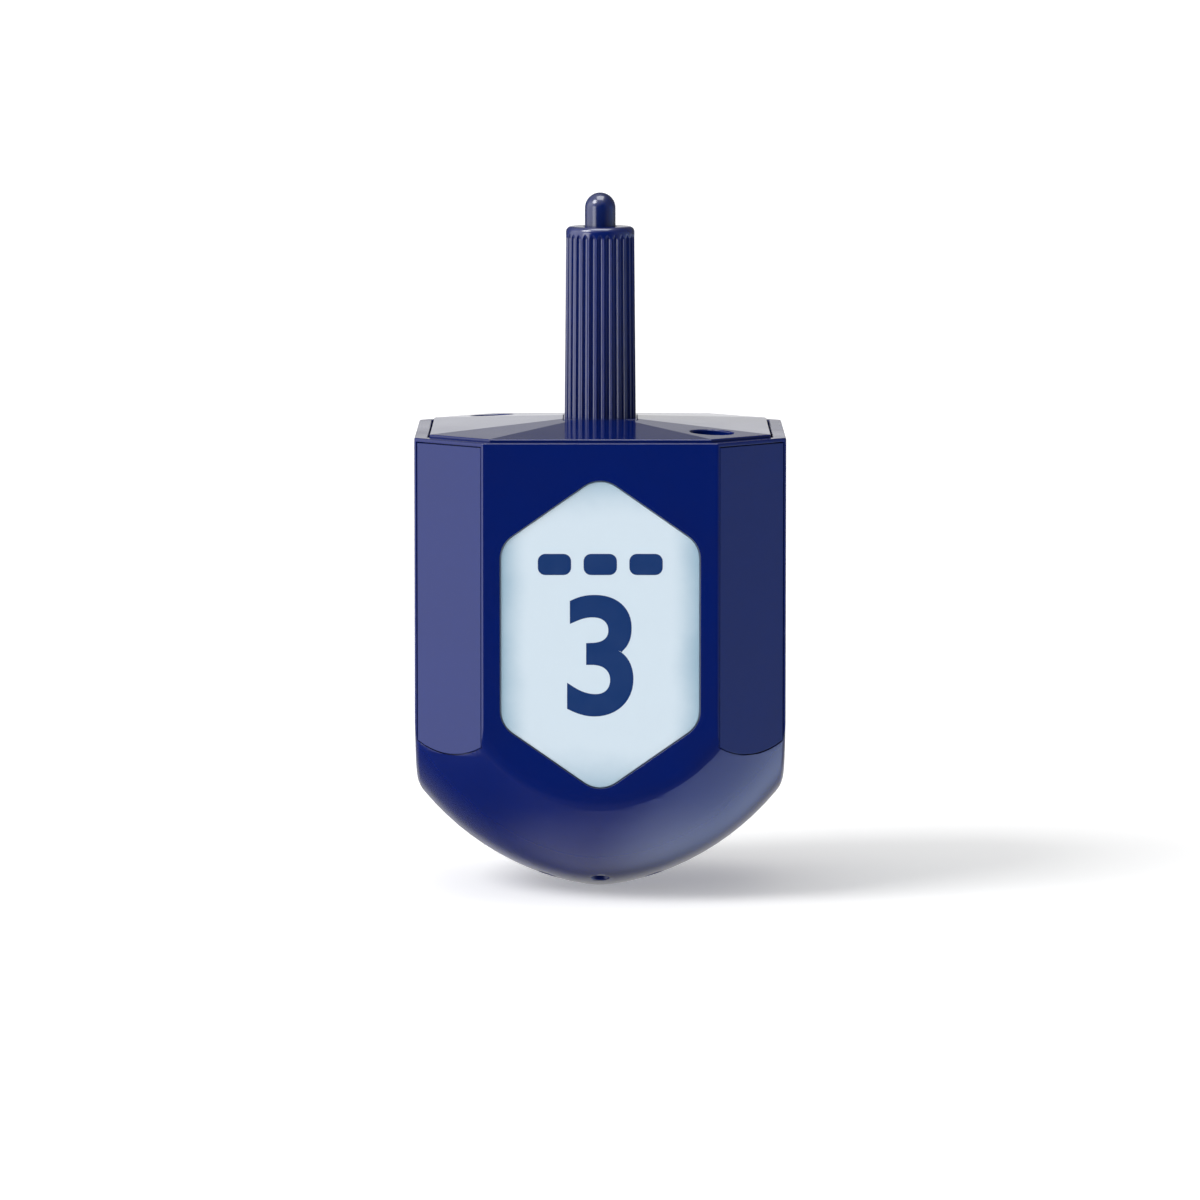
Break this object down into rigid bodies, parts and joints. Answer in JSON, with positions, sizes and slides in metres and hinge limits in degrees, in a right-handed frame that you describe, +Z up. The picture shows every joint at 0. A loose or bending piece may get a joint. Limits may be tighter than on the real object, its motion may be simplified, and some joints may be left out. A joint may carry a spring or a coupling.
{
  "type": "electronic dreidel",
  "caption": "Light-up talking dreidel: square body with cut corners and lit hexagonal windows, domed speaker underside, faceted screwed lid, fluted spinning handle and a push button on top.",
  "frame": {"origin": "middle of the small flat foot that it stands on", "axes": "+Z up along the handle, -Y towards the front window, +X to the right of it"},
  "size_m": [0.06, 0.06, 0.1135],
  "materials": {
    "navy_shell": "satin moulded ABS",
    "navy_panel": "satin moulded ABS",
    "navy_button": "polished moulded ABS",
    "milky_lens": "milky translucent moulding",
    "steel": "plated",
    "white_plastic": "matt moulded",
    "black_plastic": "matt moulded",
    "circuit_board": "solder mask",
    "cell_jacket": "satin",
    "lamp_resin": "clear cast resin",
    "cone_paper": "pressed paper",
    "magnet": "sintered",
    "lead_red": "insulated wire",
    "lead_black": "insulated wire"
  },
  "bodies": {
    "shell": {"body_shell": "navy_shell", "corner_panel_front_right": "navy_panel", "corner_panel_back_right": "navy_panel", "corner_panel_back_left": "navy_panel", "corner_panel_front_left": "navy_panel", "window_front": "milky_lens", "window_right": "milky_lens", "window_back": "milky_lens", "window_left": "milky_lens", "lid": "navy_shell", "lid_screws": "steel", "handle": "navy_shell", "handle_retainer": "steel", "button_spring": "steel", "button_guide": "white_plastic", "switch_board": "circuit_board", "switch_board_screws": "steel", "switch_body": "black_plastic", "battery_bridge": "steel", "battery_left": "cell_jacket", "battery_right": "cell_jacket", "contact_spring": "steel", "contact_strip": "steel", "light_core": "white_plastic", "main_board": "circuit_board", "main_board_screws": "steel", "sound_chip": "black_plastic", "lamp_front": "lamp_resin", "lamp_right": "lamp_resin", "lamp_back": "lamp_resin", "lamp_left": "lamp_resin", "speaker_frame": "steel", "speaker_cone": "cone_paper", "speaker_magnet": "magnet", "speaker_clamp": "white_plastic", "speaker_lead_red": "lead_red", "speaker_lead_black": "lead_black", "switch_lead_red": "lead_red", "switch_lead_black": "lead_black"},
    "push_button": {"button": "navy_button"},
    "plunger": {"switch_plunger": "white_plastic"}
  },
  "joints": [
    {"name": "button_press", "type": "slide", "parent": "shell", "child": "push_button", "axis": [0, 0, -1], "range_m": [0, 0.0015], "stiffness_N_per_m": 300, "springref_m": -0.003, "deforming": ["button_spring"]},
    {"name": "switch_press", "type": "slide", "parent": "shell", "child": "plunger", "axis": [0, 0, -1], "range_m": [0, 0.0015]}
  ],
  "couplings": [
    {"joint": "switch_press", "follows": "button_press", "ratio": 1}
  ]
}
